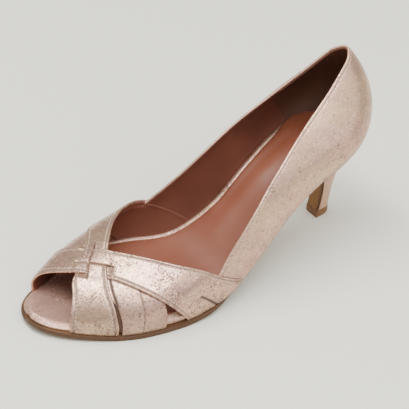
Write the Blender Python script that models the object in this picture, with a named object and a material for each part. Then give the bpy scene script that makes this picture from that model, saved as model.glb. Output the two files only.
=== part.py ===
"""Low-heel peep-toe pump, left shoe: woven vamp, hollow upper, insole, sock, outsole, heel, top piece.

All sizes are in millimetres until the meshes are made.
x runs from the heel seat to the toe, y to the outer side of the foot, z up.
Stations along the foot carry the outline, the bottom line and the height of the last.
"""
import bmesh
import bpy
import numpy as np

NAME = "peep_toe_pump"
MM = 0.001

# main sizes
LENGTH = 232.0
HEEL_ROUND = 32.0
TOE_ROUND = 58.0
TOE_POWER = 2.2
TOE_SWING = -4.5
SWING_FROM = 110.0
WALL = 1.5
GAP = 0.3
TREAD_FEATHER = 3.2

# the last: half widths, feather height, ridge height and the shape of the section between them
LAST_COLUMNS = (
    "x", "lateral", "medial", "feather", "ridge",
    "tuck_lateral", "shoulder_lateral", "tuck_medial", "shoulder_medial", "rise",
)
LAST = (
    (0, 27.0, 26.5, 61.0, 130, -0.05, 0.50, -0.05, 0.50, 0.62),
    (20, 29.5, 28.0, 59.5, 126, -0.05, 0.50, -0.05, 0.50, 0.62),
    (45, 32.0, 25.0, 53.0, 116, -0.05, 0.40, -0.10, 0.30, 0.62),
    (70, 35.8, 19.5, 42.4, 102, -0.05, 0.20, -0.50, 0.00, 0.62),
    (95, 40.5, 17.0, 25.4, 82, -0.05, 0.14, -0.70, -0.20, 0.62),
    (120, 45.6, 22.5, 10.4, 63, 0.02, 0.28, -0.50, -0.10, 0.64),
    (145, 47.5, 31.5, 4.4, 50.5, -0.08, 0.42, -0.26, 0.20, 0.68),
    (165, 46.2, 36.0, 2.6, 40.5, -0.14, 0.44, -0.24, 0.36, 0.72),
    (185, 42.5, 34.6, 2.6, 33.2, -0.15, 0.44, -0.26, 0.38, 0.74),
    (205, 37.0, 31.0, 4.1, 27, -0.12, 0.44, -0.20, 0.42, 0.74),
    (232, 30.0, 28.0, 6.8, 16, -0.06, 0.44, -0.06, 0.44, 0.74),
)

# the collar line, both sides, from the heel top to under the vamp bands
TOP_COLUMNS = ("x", "y_lateral", "z_lateral", "y_medial", "z_medial")
TOP = (
    (7.6, 6.0, 120.5, 6.0, 120.5),
    (14, 8.0, 115.8, 8.0, 116.5),
    (30, 12.9, 103.0, 11.9, 105.2),
    (50, 18.7, 89.8, 16.3, 92.2),
    (75, 28.2, 74.3, 20.4, 77.2),
    (100, 37.0, 55.5, 22.2, 60.8),
    (120, 42.3, 35.5, 25.6, 45.0),
    (134, 43.0, 20.5, 30.0, 34.0),
    (142, 43.5, 13.0, 31.5, 27.5),
)
TOP_END_LATERAL = 134.0
TOP_END_MEDIAL = 141.0
TOP_ROUND = 8.0

# outward push of the quarter's lower and upper handles: at the back, halfway and at the front
BULGE_COLUMNS = ("g", "low", "high")
BULGE = ((0.0, 15.0, 15.5), (0.12, 13.0, 16.0), (0.4, 7.0, 10.0), (0.75, 2.0, 3.0), (1.0, 1.0, 1.0))
LOW_HANDLE = 0.34
HIGH_HANDLE = 0.30
QUARTER_FOOT = 119.0
BLEND_START = 0.62
BLEND_END = 0.88
QUARTER_DROP = 0.6

# the two vamp bands: edges as x against a, where a is 1 at the outer feather, 0 on the ridge, -1 inside
BAND_COLUMNS = ("a", "front", "rear")
BAND_TO_LATERAL = (
    (-1.00, 218.0, 189.5),
    (-0.60, 216.0, 193.2),
    (-0.30, 211.0, 188.8),
    (-0.12, 206.4, 182.8),
    (0.00, 201.6, 178.4),
    (0.26, 188.8, 165.7),
    (0.48, 179.2, 153.0),
    (0.68, 169.8, 138.0),
    (0.85, 161.3, 124.5),
    (1.00, 153.3, 110.8),
)
BAND_TO_MEDIAL = (
    (-1.00, 147.0, 105.0),
    (-0.80, 158.8, 120.0),
    (-0.62, 168.3, 134.3),
    (-0.42, 177.0, 151.7),
    (-0.23, 184.8, 165.4),
    (-0.10, 192.2, 172.8),
    (0.00, 200.0, 178.4),
    (0.10, 205.4, 183.2),
    (0.28, 210.3, 189.5),
    (0.65, 217.0, 194.3),
    (1.00, 219.0, 194.3),
)
BAND_RAISE = 0.4
WEAVE_OVER = 0.65
WEAVE_UNDER = -0.45
WEAVE_STEP = 0.16
WEAVE_MIDDLE = 0.43

# infill strips between a front band and the top band of each side; ahead of the pleat they stand higher
FILL_COLUMNS = ("a", "front", "rear", "pleat")
FILL_LATERAL = (
    (0.24, 193.0, 181.5, 176.0),
    (0.45, 195.0, 174.0, 177.5),
    (0.58, 193.6, 170.0, 179.0),
    (0.75, 193.2, 167.2, 180.2),
    (1.00, 193.2, 167.0, 182.0),
)
FILL_MEDIAL = (
    (0.24, 190.5, 178.0, 250.0),
    (0.45, 193.8, 171.0, 250.0),
    (0.60, 195.0, 165.0, 250.0),
    (0.80, 194.0, 155.5, 250.0),
    (1.00, 191.5, 150.0, 250.0),
)
FILL_DROP = -0.75
PLEAT_STEP = 0.35

# bottom pieces
INSOLE_INSET = 2.0
INSOLE_TOE_INSET = 0.5
INSOLE_TOE_FROM = 222.5
INSOLE_TOE_FADE = 5.0
INSOLE_THICK = 3.0
INSOLE_ROUND = 1.3
PAD_LIFT = 2.0
PAD_X = 158.0
PAD_REACH = 30.0
CUP_LIFT = 4.0
CUP_X = 155.0
CUP_REACH = 26.0
CUP_EDGE = -6.0
CUP_SLOPE = 26.0
EDGE_FROM = 0.94
SOCK_RIM = 1.9
SOCK_THICK = 1.1
SOCK_ROUND = 0.5
SOCK_FRONT = 184.0
SOLE_THICK = 2.9
SHANK_THICK = 2.2
SOLE_GROW = 1.1
SHANK_GROW = -3.0
SHANK_FROM = 140.0
SHANK_FADE = 32.0
FLAP_START_X = 64.0
FLAP_THICK = 1.3
FLAP_INSET = 0.5
FLAP_TUCK = 4.5
FLAP_POINTS = ((40.0, 48.4), (15.2, 46.0), (25.2, 6.0))

# heel
TIP_BACK = 13.2
TIP_FRONT = 25.2
TIP_HALF = 5.2
TIP_HIGH = 6.0
HEEL_FRONT_X = 55.0
HEEL_BACK = ((0.0, 60.7), (2.2, 45.0), (11.4, 29.0), (13.4, 6.0))
HEEL_SLIM = 2.6
HEEL_POWER = 2.4

SHARP_ANGLE = 0.6

BRONZE = (0.62, 0.47, 0.40, 1.0)
BROWN = (0.33, 0.13, 0.08, 1.0)
TAN = (0.45, 0.28, 0.17, 1.0)
CARAMEL = (0.33, 0.17, 0.08, 1.0)


def spline(rows, columns, name, x):
    """Smooth curve through a named column of a table, at the places x."""
    xs = np.array([row[0] for row in rows], float)
    vs = np.array([row[columns.index(name)] for row in rows], float)
    slope = np.gradient(vs, xs)
    x = np.asarray(x, float)
    i = np.clip(np.searchsorted(xs, x, side="right") - 1, 0, len(xs) - 2)
    h = xs[i + 1] - xs[i]
    u = (x - xs[i]) / h
    start = (2 * u**3 - 3 * u**2 + 1) * vs[i] + (u**3 - 2 * u**2 + u) * h * slope[i]
    end = (3 * u**2 - 2 * u**3) * vs[i + 1] + (u**3 - u**2) * h * slope[i + 1]
    return start + end


def last(name, x):
    """A named size of the last at x."""
    return spline(LAST, LAST_COLUMNS, name, x)


def ease(v):
    """Smooth step from 0 to 1."""
    v = np.clip(v, 0.0, 1.0)
    return v * v * (3 - 2 * v)


def mix(a, b, w):
    """Straight blend: a where w is 0 and b where w is 1."""
    return a + (b - a) * w


def round_ends(x):
    """Share of the half width left at x: round at the heel, fuller at the toe."""
    back = np.clip(x / HEEL_ROUND, 0, 1)
    front = np.clip((LENGTH - x) / TOE_ROUND, 0, 1)
    heel = np.sqrt(np.maximum(1 - (1 - back) ** 2, 0))
    toe = np.maximum(1 - (1 - front) ** TOE_POWER, 0) ** (1 / TOE_POWER)
    return heel * toe


def centre(x):
    """Middle line of the last, which swings inward ahead of the waist."""
    return TOE_SWING * np.clip((x - SWING_FROM) / (LENGTH - SWING_FROM), 0, 1) ** 1.5


def feather_z(x):
    """Height of the feather edge, level over the tread."""
    return np.maximum(TREAD_FEATHER, last("feather", x))


def feather(x, side):
    """Edge where the upper meets the sole; side is 1 for lateral and -1 for medial."""
    half = np.where(side > 0, last("lateral", x), last("medial", x))
    return np.stack([x, centre(x) + side * half * round_ends(x), feather_z(x)], -1)


def bezier(t, p1, p2):
    """One-number cubic from 0 to 1 with handles p1 and p2."""
    return 3 * t * (1 - t) ** 2 * p1 + 3 * t**2 * (1 - t) * p2 + t**3


def vamp(x, a):
    """Outer last over the forefoot: a section at x goes from the feather up to the ridge."""
    x, a = np.broadcast_arrays(np.asarray(x, float), np.asarray(a, float))
    t = 1 - np.abs(a)
    foot = feather(x, np.where(a >= 0, 1.0, -1.0))
    tuck = np.where(a >= 0, last("tuck_lateral", x), last("tuck_medial", x))
    shoulder = np.where(a >= 0, last("shoulder_lateral", x), last("shoulder_medial", x))
    across = bezier(t, tuck, shoulder)
    upward = bezier(t, last("rise", x), 1.0)
    y = mix(foot[..., 1], centre(x), across)
    z = mix(foot[..., 2], last("ridge", x), upward)
    return np.stack([x, y, z], -1)


def vamp_a(x, side, z):
    """The a on the last at x where its height is z, by halving."""
    foot = feather_z(x)
    want = (z - foot) / (last("ridge", x) - foot)
    low = np.zeros_like(want)
    high = np.ones_like(want)
    for _ in range(40):
        middle = (low + high) / 2
        below = bezier(middle, last("rise", x), 1.0) < want
        low = np.where(below, middle, low)
        high = np.where(below, high, middle)
    return side * (1 - low)


def topline(x, side):
    """Collar line, narrow and round at the heel top."""
    name = "lateral" if side > 0 else "medial"
    r = np.clip((x - TOP[0][0]) / TOP_ROUND, 0, 1)
    half = spline(TOP, TOP_COLUMNS, "y_" + name, x) * np.sqrt(1 - (1 - r) ** 2)
    return np.stack([x, side * half, spline(TOP, TOP_COLUMNS, "z_" + name, x)], -1)


def normals(points):
    """Unit normals of a grid of points, from its two directions."""
    n = np.cross(np.gradient(points, axis=0), np.gradient(points, axis=1))
    return n / np.maximum(np.linalg.norm(n, axis=-1, keepdims=True), 1e-9)


def level_feet(n, rows):
    """Normals of the rows that stand on the sole, turned level."""
    n = n.copy()
    n[rows, :, 2] = 0.0
    n[rows] /= np.linalg.norm(n[rows], axis=-1, keepdims=True)
    return n


def grid_faces(rows, cols, start=0):
    """Four-sided faces of a grid of points, as numbers of its points."""
    i, j = np.meshgrid(np.arange(rows - 1), np.arange(cols - 1), indexing="ij")
    a = (start + i * cols + j).ravel()
    return np.stack([a, a + cols, a + cols + 1, a + 1], -1)


def sheet(outer, inner):
    """Closed wall between two grids of the same size; the outer normals follow rows cross columns."""
    rows, cols = outer.shape[:2]
    count = rows * cols
    index = np.arange(count).reshape(rows, cols)
    rim = np.concatenate([index[:-1, 0], index[-1, :-1], index[:0:-1, -1], index[0, :0:-1]])
    after = np.roll(rim, -1)
    sides = np.stack([rim, rim + count, after + count, after], -1)
    faces = [grid_faces(rows, cols), grid_faces(rows, cols, count)[:, ::-1], sides]
    points = np.concatenate([outer.reshape(-1, 3), inner.reshape(-1, 3)])
    return points, np.concatenate(faces)


def quarter():
    """Back part of the upper, wrapped round the heel from the medial to the lateral vamp."""
    s = np.linspace(-1, 1, 65)[None, :]
    t = np.linspace(0, 1, 10)[:, None]
    g = s * s * (2 - np.abs(s))
    side = np.where(s >= 0, 1.0, -1.0)
    foot = feather(QUARTER_FOOT * g, side)
    top_x = mix(TOP[0][0], np.where(side > 0, TOP_END_LATERAL, TOP_END_MEDIAL), g)
    top = np.where(side[..., None] > 0, topline(top_x, 1), topline(top_x, -1))
    along = np.gradient(foot, axis=1)
    out = np.stack([-along[..., 1], along[..., 0], 0 * along[..., 0]], -1)
    out /= np.linalg.norm(out, axis=-1, keepdims=True)
    height = top[..., 2] - foot[..., 2]
    up = np.stack([0 * height, 0 * height, height], -1)
    low = foot + out * spline(BULGE, BULGE_COLUMNS, "low", g)[..., None] + LOW_HANDLE * up
    high = top + out * spline(BULGE, BULGE_COLUMNS, "high", g)[..., None] - HIGH_HANDLE * up
    u = t[..., None]
    wall = (1 - u) ** 3 * foot + 3 * u * (1 - u) ** 2 * low + 3 * u**2 * (1 - u) * high + u**3 * top
    x = mix(foot[..., 0], top[..., 0], t)
    a_top = vamp_a(top[..., 0], side, top[..., 2])
    on_last = vamp(x, mix(side, a_top, t))
    wall = mix(wall, on_last, ease((g - BLEND_START) / (BLEND_END - BLEND_START))[..., None])
    n = level_feet(normals(wall), [0])
    drop = QUARTER_DROP * ease((g - 0.8) / 0.15) * mix(0.4, 1.0, ease(t / 0.25))
    outer = wall - n * drop[..., None]
    return sheet(outer, outer - n * WALL)


def band(rows, other, over):
    """Vamp band woven through the other one; over is 1 when it lies on top in the front cell."""
    centre_lines = np.linspace(-1, 1, 41)
    a = (np.sign(centre_lines) * np.abs(centre_lines) ** 1.35)[:, None]
    v = np.linspace(0, 1, 11)[None, :]
    x = mix(spline(rows, BAND_COLUMNS, "front", a), spline(rows, BAND_COLUMNS, "rear", a), v)
    front = spline(other, BAND_COLUMNS, "front", a)
    w = (front - x) / (front - spline(other, BAND_COLUMNS, "rear", a))
    inside = ease((w + 0.25) / 0.25) * ease((1.25 - w) / 0.25)
    cell = np.tanh((v - WEAVE_MIDDLE) / WEAVE_STEP) * np.tanh((w - WEAVE_MIDDLE) / WEAVE_STEP) * over
    woven = np.where(cell > 0, WEAVE_OVER * cell, -WEAVE_UNDER * cell)
    level = mix(BAND_RAISE, woven, inside) * ease((1 - np.abs(a)) / 0.15)
    points = vamp(x, a)
    n = level_feet(normals(points), [0, -1])
    outer = points + n * level[..., None]
    return sheet(outer, outer - n * WALL)


def infill(rows, side):
    """Strip that closes the side of the vamp, tucked under both bands, with a pleat along it."""
    a = np.linspace(rows[0][0], 1, 13)[:, None]
    v = np.linspace(0, 1, 11)[None, :]
    x = mix(spline(rows, FILL_COLUMNS, "front", a), spline(rows, FILL_COLUMNS, "rear", a), v)
    points = vamp(x, side * a)
    n = level_feet(normals(points) * side, [-1])
    pleat = PLEAT_STEP * ease((x - spline(rows, FILL_COLUMNS, "pleat", a)) / 2.0 + 0.5)
    level = (FILL_DROP + pleat) * ease((1 - a) / 0.2)
    outer = points + n * level[..., None]
    inner = outer - n * WALL
    return sheet(outer, inner) if side > 0 else sheet(outer[:, ::-1], inner[:, ::-1])


def stations(count):
    """Places along the foot, close together at both ends."""
    return 0.3 + (LENGTH - 0.45) * (1 - np.cos(np.linspace(0, np.pi, count))) / 2


def inset_outline(x, inset):
    """Lateral and medial outlines moved inward square to themselves."""
    sides = []
    for side in (1.0, -1.0):
        line = feather(x, side)[:, :2]
        along = np.gradient(line, axis=0)
        inward = np.stack([along[:, 1], -along[:, 0]], -1) * side
        inward /= np.linalg.norm(inward, axis=-1, keepdims=True)
        sides.append(line + inward * inset[:, None])
    return sides


def plate(lateral, medial, across, top, bottom):
    """Closed plate between two outlines; top and bottom give heights from x, y and place across."""
    f = np.asarray(across)[None, :]
    middle = (lateral + medial)[:, None, :] / 2
    half = (lateral - medial)[:, None, :] / 2
    xy = middle + half * f[..., None]
    upper = np.concatenate([xy, top(xy[..., 0], xy[..., 1], f)[..., None]], -1)
    lower = np.concatenate([xy, bottom(xy[..., 0], xy[..., 1], f)[..., None]], -1)
    return sheet(upper, lower)


def bed_lift(x, y):
    """Padding under the ball of the foot, and the cupped rise of the foot bed at the inner ball."""
    pad = PAD_LIFT * np.exp(-(((x - PAD_X) / PAD_REACH) ** 2))
    cup = CUP_LIFT * np.exp(-(((x - CUP_X) / CUP_REACH) ** 2)) * ease((CUP_EDGE - y) / CUP_SLOPE)
    return pad + cup


def insole():
    """Foot bed with a round edge, padded under the ball."""
    x = stations(43)
    inset = mix(INSOLE_INSET, INSOLE_TOE_INSET, ease((x - INSOLE_TOE_FROM) / INSOLE_TOE_FADE))
    lateral, medial = inset_outline(x, inset)
    across = (-1, -0.98, -EDGE_FROM, -0.5, 0, 0.5, EDGE_FROM, 0.98, 1)

    def top(px, py, f):
        edge = np.clip((np.abs(f) - EDGE_FROM) / (1 - EDGE_FROM), 0, 1)
        return feather_z(px) + INSOLE_THICK + bed_lift(px, py) - INSOLE_ROUND * edge**2

    def bottom(px, py, f):
        return feather_z(px) + 0 * f

    return plate(lateral, medial, across, top, bottom)


def sock():
    """Thin lining on the foot bed, which leaves a rim of it bare."""
    x = 0.3 + (SOCK_FRONT - 0.3) * (1 - np.cos(np.linspace(0, np.pi / 2, 33)))
    lateral, medial = inset_outline(x, np.full(len(x), INSOLE_INSET + SOCK_RIM))
    across = (-1, -EDGE_FROM, -0.5, 0, 0.5, EDGE_FROM, 1)

    def bottom(px, py, f):
        return feather_z(px) + INSOLE_THICK + bed_lift(px, py) + GAP

    def top(px, py, f):
        edge = np.clip((np.abs(f) - EDGE_FROM) / (1 - EDGE_FROM), 0, 1)
        return bottom(px, py, f) + SOCK_THICK - SOCK_ROUND * edge**2

    return plate(lateral, medial, across, top, bottom)


def flap_line(u):
    """Front face of the heel breast, from the shank down to the tip, as x and z."""
    start = np.array([FLAP_START_X, feather_z(FLAP_START_X) - GAP - SHANK_THICK])
    p1, p2, p3 = (np.array(p) for p in FLAP_POINTS)
    u = np.asarray(u)[:, None]
    return (1 - u) ** 3 * start + 3 * u * (1 - u) ** 2 * p1 + 3 * u**2 * (1 - u) * p2 + u**3 * p3


def offset_line(line, distance):
    """A line in x and z moved square to itself, to the right of its travel."""
    along = np.gradient(line, axis=0)
    right = np.stack([along[:, 1], -along[:, 0]], -1)
    return line + distance[:, None] * right / np.linalg.norm(right, axis=-1, keepdims=True)


def flap_thick(u):
    """Thickness of the sole where it turns down the heel breast."""
    return mix(SHANK_THICK, FLAP_THICK, ease(u / 0.3))


def flap_split():
    """Share of the flap line passed where the front edge of the heel seat lies."""
    u = np.linspace(0, 1, 401)
    return u[np.argmax(flap_line(u)[:, 0] < HEEL_FRONT_X)]


def heel_half(k, side):
    """Half width of the heel from its seat (k is 0) to the tip (k is 1)."""
    seat = abs(feather(np.array(HEEL_FRONT_X), side)[1])
    return TIP_HALF + (seat - TIP_HALF) * (1 - np.clip(k, 0, 1)) ** HEEL_SLIM


def flap_lines():
    """The flap's shares u, its front line and its back line; ahead of the heel it fills up to the upper."""
    split = flap_split()
    u = np.concatenate([np.linspace(0, split - 0.004, 5)[1:], np.linspace(split + 0.004, 1, 15)])
    line = flap_line(u)
    back = offset_line(line, flap_thick(u))
    ahead = u < split
    back[ahead, 0] = np.maximum(line[ahead, 0], HEEL_FRONT_X + GAP)
    back[ahead, 1] = feather_z(back[ahead, 0]) - GAP
    back[:, 1] = np.maximum(back[:, 1], TIP_HIGH)
    return u, line, back


def outsole():
    """Tread, shank and the flap that runs down the heel breast, as one sheet along a path."""
    x = stations(57)[::-1]
    x = np.append(x[x > FLAP_START_X + 3], FLAP_START_X + 0.01)
    waist = ease((SHANK_FROM - x) / SHANK_FADE)
    sides = inset_outline(x[::-1], -mix(SOLE_GROW, SHANK_GROW, waist)[::-1])
    lateral, medial = (line[::-1] for line in sides)
    thick = mix(SOLE_THICK, SHANK_THICK, waist)
    u, front, back = flap_lines()
    split = flap_split()
    lead = ease(u / split)
    k = (u - split) / (1 - split)
    inset = FLAP_INSET + FLAP_TUCK * (1 - ease(k / 0.4))
    out = mix(lateral[-1, 1], heel_half(k, 1.0) - inset, lead)
    inn = mix(medial[-1, 1], inset - heel_half(k, -1.0), lead)
    f = np.array([1.0, 0.5, 0.0, -0.5, -1.0])[None, :]
    flap_y = (out + inn)[:, None] / 2 + (out - inn)[:, None] / 2 * f
    xy = (lateral + medial)[:, None, :] / 2 + (lateral - medial)[:, None, :] / 2 * f[..., None]
    surfaces = []
    for depth, line in ((0 * thick, back), (thick, front)):
        z = feather_z(xy[..., 0]) - GAP - depth[:, None]
        tread = np.concatenate([xy, z[..., None]], -1)
        flap = np.stack([line[:, :1] + 0 * flap_y, flap_y, line[:, 1:] + 0 * flap_y], -1)
        surfaces.append(np.concatenate([tread, flap]))
    return sheet(surfaces[0], surfaces[1])


def tube(lateral, medial):
    """Closed solid from two families of side lines that meet at the back; levels go downward."""
    levels, count = lateral.shape[:2]
    loop = np.concatenate([lateral, medial[:, -2::-1]], 1)
    ring = loop.shape[1]
    index = np.arange(levels * ring).reshape(levels, ring)
    after = np.roll(index, -1, axis=1)
    walls = np.stack([index[:-1], index[1:], after[1:], after[:-1]], -1).reshape(-1, 4)
    i = np.arange(count - 1)
    left = ring - 1 - i
    cap = np.stack([i, i + 1, left - 1, left], -1)
    top = index[0][cap]
    bottom = index[-1][cap[:, ::-1]]
    return loop.reshape(-1, 3), np.concatenate([walls, top, bottom])


def heel():
    """Slim heel: slanted sections from the seat, which follows the upper, to the round tip."""
    k = np.linspace(0, 1, 19)[:, None]
    f = np.sin(np.linspace(0, np.pi / 2, 13))[None, :]
    split = flap_split()
    u = mix(split, 1.0, k[:, 0])
    breast = offset_line(flap_line(u), flap_thick(u) + GAP)
    breast[0] = (HEEL_FRONT_X, feather_z(HEEL_FRONT_X) - GAP)
    breast[:, 1] = np.maximum(breast[:, 1], TIP_HIGH)
    p = np.array(HEEL_BACK)
    back = (1 - k) ** 3 * p[0] + 3 * k * (1 - k) ** 2 * p[1] + 3 * k**2 * (1 - k) * p[2] + k**3 * p[3]
    x = mix(breast[:, :1], back[:, :1], f)
    z = mix(breast[:, 1:], back[:, 1:], f)
    seat = feather_z(x[0]) - GAP
    z = z + (1 - ease(k / 0.4)) * (seat - z[0])
    sides = []
    for side in (1.0, -1.0):
        outline = np.abs(feather(x[0], side)[:, 1])
        full = outline / outline[0]
        slim = (1 - f**HEEL_POWER) ** (1 / HEEL_POWER)
        y = side * heel_half(k, side) * mix(full[None, :], slim, ease(k * 1.6))
        sides.append(np.stack([x, y, z], -1))
    return tube(sides[0], sides[1])


def top_piece():
    """Walking end of the heel, flat underneath."""
    f = np.sin(np.linspace(0, np.pi / 2, 13))[None, :]
    z = np.array([TIP_HIGH - GAP, 0.0])[:, None] + 0 * f
    x = mix(TIP_FRONT, TIP_BACK, f) + 0 * z
    y = TIP_HALF * (1 - f**HEEL_POWER) ** (1 / HEEL_POWER) + 0 * z
    return tube(np.stack([x, y, z], -1), np.stack([x, -y, z], -1))


def material(name, colour, metallic, rough):
    """Plain finish of one piece."""
    made = bpy.data.materials.new(name)
    made.use_nodes = True
    shader = made.node_tree.nodes["Principled BSDF"]
    shader.inputs["Base Color"].default_value = colour
    shader.inputs["Metallic"].default_value = metallic
    shader.inputs["Roughness"].default_value = rough
    return made


def mesh_object(name, shape, origin, group, paint):
    """One named object from points and faces, moved so that the origin lies under the middle."""
    points, faces = shape
    mesh = bpy.data.meshes.new(name)
    mesh.from_pydata(((points - origin) * MM).tolist(), [], faces.tolist())
    made = bmesh.new()
    made.from_mesh(mesh)
    bmesh.ops.remove_doubles(made, verts=made.verts, dist=0.000002)
    bmesh.ops.dissolve_degenerate(made, edges=made.edges, dist=0.000001)
    bmesh.ops.recalc_face_normals(made, faces=made.faces)
    made.to_mesh(mesh)
    made.free()
    mesh.shade_smooth()
    mesh.set_sharp_from_angle(angle=SHARP_ANGLE)
    mesh.materials.append(paint)
    thing = bpy.data.objects.new(name, mesh)
    group.objects.link(thing)
    return thing


for old in list(bpy.data.objects):
    bpy.data.objects.remove(old, do_unlink=True)

parts = bpy.data.collections.new(NAME)
strips = bpy.data.collections.new("upper_strips")
bpy.context.scene.collection.children.link(parts)
bpy.context.scene.collection.children.link(strips)

shapes = {
    "upper": quarter(),
    "insole": insole(),
    "sock_lining": sock(),
    "outsole": outsole(),
    "heel": heel(),
    "top_piece": top_piece(),
}
strip_shapes = {
    "band_to_medial": band(BAND_TO_MEDIAL, BAND_TO_LATERAL, -1),
    "band_to_lateral": band(BAND_TO_LATERAL, BAND_TO_MEDIAL, 1),
    "infill_lateral": infill(FILL_LATERAL, 1),
    "infill_medial": infill(FILL_MEDIAL, -1),
}
every = np.concatenate([shape[0] for shape in (*shapes.values(), *strip_shapes.values())])
middle = (every.min(0) + every.max(0)) / 2
origin = np.array([middle[0], middle[1], every[:, 2].min()])

bronze = material("bronze_leather", BRONZE, 0.55, 0.42)
paints = {
    "upper": bronze,
    "insole": material("insole_wrap", BRONZE, 0.5, 0.45),
    "sock_lining": material("brown_sock", BROWN, 0.0, 0.5),
    "outsole": material("tan_sole", TAN, 0.0, 0.55),
    "heel": material("heel_cover", BRONZE, 0.5, 0.45),
    "top_piece": material("brown_rubber", CARAMEL, 0.0, 0.7),
}
things = {name: mesh_object(name, shape, origin, parts, paints[name]) for name, shape in shapes.items()}
for name, shape in strip_shapes.items():
    strip = mesh_object(name, shape, origin, strips, bronze)
    strip.hide_render = True
    strip.display_type = "WIRE"
    join = things["upper"].modifiers.new("join_" + name, "BOOLEAN")
    join.operation = "UNION"
    join.solver = "EXACT"
    join.object = strip
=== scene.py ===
# %% [markdown]
# # A peep-toe pump in champagne leather
# The solids of this shoe are built already, so this lesson dresses them.
# Each piece of leather is a surface worked out with numpy from the same shoe last that shaped the solids,
# and each finish is made of shader nodes. Each cell makes one thing, and what is made or measured is printed.

import bpy
import numpy as np
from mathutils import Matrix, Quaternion, Vector


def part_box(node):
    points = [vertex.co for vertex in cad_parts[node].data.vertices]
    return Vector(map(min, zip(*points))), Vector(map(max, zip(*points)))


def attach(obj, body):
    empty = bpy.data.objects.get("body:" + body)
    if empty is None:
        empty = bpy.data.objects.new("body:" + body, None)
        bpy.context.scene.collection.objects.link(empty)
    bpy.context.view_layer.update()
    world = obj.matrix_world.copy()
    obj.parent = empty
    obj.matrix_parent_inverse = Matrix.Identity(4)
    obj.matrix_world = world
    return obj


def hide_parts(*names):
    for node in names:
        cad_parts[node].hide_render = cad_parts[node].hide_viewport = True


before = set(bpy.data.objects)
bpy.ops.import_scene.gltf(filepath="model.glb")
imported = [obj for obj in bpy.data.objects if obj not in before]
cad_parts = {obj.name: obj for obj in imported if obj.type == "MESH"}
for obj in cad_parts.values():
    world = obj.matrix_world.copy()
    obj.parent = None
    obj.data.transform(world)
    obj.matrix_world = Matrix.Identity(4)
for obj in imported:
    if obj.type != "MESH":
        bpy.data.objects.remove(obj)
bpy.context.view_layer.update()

print("solids:", ", ".join(sorted(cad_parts)))

# %% [markdown]
# A shoemaker counts in millimetres from the back of the heel seat: x to the toe, y to the outer side, z up.
# The frame counts in metres from the middle of the shoe. The walking end of the heel is a known spot in both,
# so it tells where the shoemaker's zero lies, and nothing has to be fitted by eye.

# %% The shoemaker's millimetres
MM = 0.001
TIP_BACK = 13.2
tip_low, tip_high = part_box("top_piece")
ZERO = np.array([tip_low.x - TIP_BACK * MM, (tip_low.y + tip_high.y) / 2, tip_low.z])


def to_frame(points):
    """Millimetres to metres in the frame: the zero plus a thousandth of the point."""
    return ZERO + np.asarray(points, float) * MM


print("zero of the shoe lies at", ZERO.round(4), "m")

# %% [markdown]
# The photograph was taken from above the outer side of the shoe, a little ahead of it, with a long lens.
# A camera could be turned with angles, but a place and a spot to aim at are easier to read and to move.

# %% Camera
CAMERA_PLACE = Vector((0.5203, 0.6998, 0.6973))
CAMERA_AIM = Vector((0.004, 0.004, 0.050))
CAMERA_LENS = 160.0
CAMERA_ROLL = 2.26
camera = bpy.data.objects.new("camera", bpy.data.cameras.new("camera"))
camera.location = CAMERA_PLACE
camera.rotation_mode = "QUATERNION"
level_turn = (CAMERA_AIM - CAMERA_PLACE).to_track_quat("-Z", "Y")
camera.rotation_quaternion = level_turn @ Quaternion((0, 0, 1), np.radians(CAMERA_ROLL))
camera.data.lens = CAMERA_LENS
bpy.context.scene.collection.objects.link(camera)
bpy.context.scene.camera = camera
print("camera", round((CAMERA_AIM - CAMERA_PLACE).length, 3), "m from the shoe")

# %% [markdown]
# Shader sums are hard to read as lists of nodes. One small class wraps a node's output and lets Python's own
# signs build the Math nodes, so a finish reads like a formula. All other nodes come from its method `node`.

# %% Shader sums as Python sums


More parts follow.
